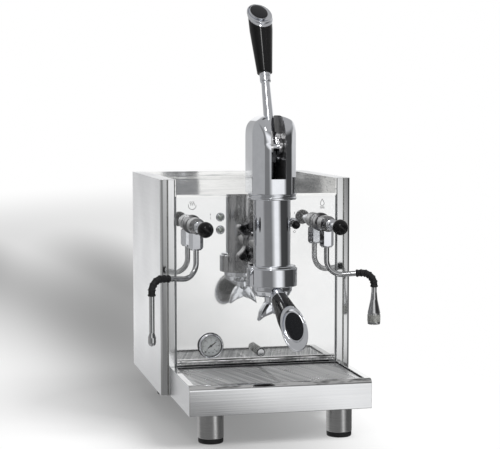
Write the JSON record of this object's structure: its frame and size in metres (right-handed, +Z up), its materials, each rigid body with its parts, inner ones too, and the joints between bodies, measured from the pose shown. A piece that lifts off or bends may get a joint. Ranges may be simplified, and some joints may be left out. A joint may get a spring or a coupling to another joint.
{
  "type": "lever espresso machine",
  "caption": "Counter-top lever espresso machine: steel case with cup tray, sprung lever group, portafilter, swivelling steam and water wands, gauge and slide-out drip tray.",
  "frame": {"origin": "on the counter, under the middle of the bounding box", "axes": "+Z up, -Y towards the person who uses it, +X to that person's right"},
  "size_m": [0.3995, 0.581, 0.7058],
  "materials": {
    "satin_steel": "satin stainless sheet",
    "mirror_steel": "mirror-polished stainless sheet",
    "chrome": "bright chrome plate",
    "brushed_steel": "brushed along the turn",
    "black_gloss": "polished black",
    "rubber": "matt black",
    "dark_steel": "plain machined",
    "frame_steel": "zinc-plated sheet",
    "lamp_lens": "clear moulded lens",
    "dial_white": "printed white",
    "needle_black": "painted black",
    "clear_glass": "clear",
    "copper": "plain copper",
    "tank_plastic": "translucent moulded",
    "black_plastic": "moulded black"
  },
  "bodies": {
    "case": {"chassis": "frame_steel", "side_panel_left": "satin_steel", "side_panel_right": "satin_steel", "front_panel": "mirror_steel", "back_panel": "satin_steel", "power_inlet": "black_plastic", "foot_sleeves": "brushed_steel", "foot_pads": "rubber", "group_body": "chrome", "flange_bolts": "chrome", "group_bell": "chrome", "group_gasket": "rubber", "shower_screen": "brushed_steel", "lever_housing": "chrome", "pivot_pin": "brushed_steel", "valve_bodies": "chrome", "wand_collets": "chrome", "indicator_lamps": "lamp_lens", "switch_body": "chrome", "gauge_case": "chrome", "gauge_dial": "dial_white", "gauge_glass": "clear_glass", "boiler": "copper", "heating_element": "copper", "boiler_pipes": "copper", "water_tank": "tank_plastic", "pump": "black_plastic"},
    "lever": {"lever_hub": "chrome", "crank_pin": "dark_steel", "lever_rod": "chrome", "lever_ferrule": "chrome", "lever_grip": "black_gloss", "lever_end": "chrome", "lever_badge": "black_gloss"},
    "piston": {"piston": "dark_steel", "piston_seal": "rubber", "piston_rod": "dark_steel", "piston_spring": "dark_steel"},
    "steam_joystick": {"steam_stem": "chrome", "steam_knob": "black_gloss"},
    "water_joystick": {"water_stem": "chrome", "water_knob": "black_gloss"},
    "steam_wand_arm": {"steam_wand": "chrome", "steam_sleeve": "rubber", "steam_tip": "chrome"},
    "water_wand_arm": {"water_wand": "chrome", "water_sleeve": "rubber", "water_nozzle": "chrome"},
    "portafilter": {"portafilter_body": "chrome", "filter_basket": "brushed_steel", "portafilter_spout": "chrome", "portafilter_grip": "black_gloss", "portafilter_end": "chrome", "portafilter_badge": "black_gloss"},
    "drip_drawer": {"drip_tray": "mirror_steel"},
    "grate": {"drip_grate": "brushed_steel"},
    "cup_rest": {"cup_tray": "mirror_steel"},
    "toggle": {"switch_toggle": "black_plastic"},
    "needle": {"gauge_needle": "needle_black"},
    "drain": {"drain_knob": "chrome"}
  },
  "joints": [
    {"name": "lever_pull", "type": "hinge", "parent": "case", "child": "lever", "pos_m": [0, -0.15054, 0.472], "axis": [1, 0, 0], "range_deg": [0, 105], "stiffness_Nm_per_rad": 6, "springref_deg": -28.65},
    {"name": "piston_stroke", "type": "slide", "parent": "case", "child": "piston", "axis": [0, 0, 1], "range_m": [0, 0.0318], "deforming": ["piston_spring"]},
    {"name": "steam_tilt", "type": "hinge", "parent": "case", "child": "steam_joystick", "pos_m": [-0.112, -0.07954, 0.34], "axis": [1, 0, 0], "range_deg": [-12, 12], "stiffness_Nm_per_rad": 3},
    {"name": "water_tilt", "type": "hinge", "parent": "case", "child": "water_joystick", "pos_m": [0.112, -0.07954, 0.34], "axis": [1, 0, 0], "range_deg": [-12, 12], "stiffness_Nm_per_rad": 3},
    {"name": "steam_swivel", "type": "hinge", "parent": "case", "child": "steam_wand_arm", "pos_m": [-0.112, -0.06554, 0.29], "axis": [0, 0, 1], "range_deg": [-40, 70]},
    {"name": "water_swivel", "type": "hinge", "parent": "case", "child": "water_wand_arm", "pos_m": [0.112, -0.06554, 0.29], "axis": [0, 0, 1], "range_deg": [-75, 35]},
    {"name": "portafilter_turn", "type": "hinge", "parent": "case", "child": "portafilter", "pos_m": [0, -0.13454, 0.25], "axis": [0, 0, 1], "range_deg": [-45, 0]},
    {"name": "tray_slide", "type": "slide", "parent": "case", "child": "drip_drawer", "axis": [0, -1, 0], "range_m": [0, 0.15]},
    {"name": "grate_lift", "type": "slide", "parent": "drip_drawer", "child": "grate", "axis": [0, 0, 1], "range_m": [0, 0.015]},
    {"name": "cup_tray_lift", "type": "slide", "parent": "case", "child": "cup_rest", "axis": [0, 0, 1], "range_m": [0, 0.04]},
    {"name": "toggle_flip", "type": "hinge", "parent": "case", "child": "toggle", "pos_m": [0.063, -0.02954, 0.34], "axis": [1, 0, 0], "range_deg": [-16, 0]},
    {"name": "needle_turn", "type": "hinge", "parent": "case", "child": "needle", "pos_m": [-0.0805, -0.03254, 0.1336], "axis": [0, -1, 0], "range_deg": [-80, 190], "stiffness_Nm_per_rad": 0.001},
    {"name": "drain_turn", "type": "hinge", "parent": "case", "child": "drain", "pos_m": [0, -0.03954, 0.124], "axis": [0, -1, 0], "range_deg": [0, 270]}
  ],
  "couplings": [
    {"joint": "piston_stroke", "follows": "lever_pull", "m_per_rad": 0.0173}
  ]
}
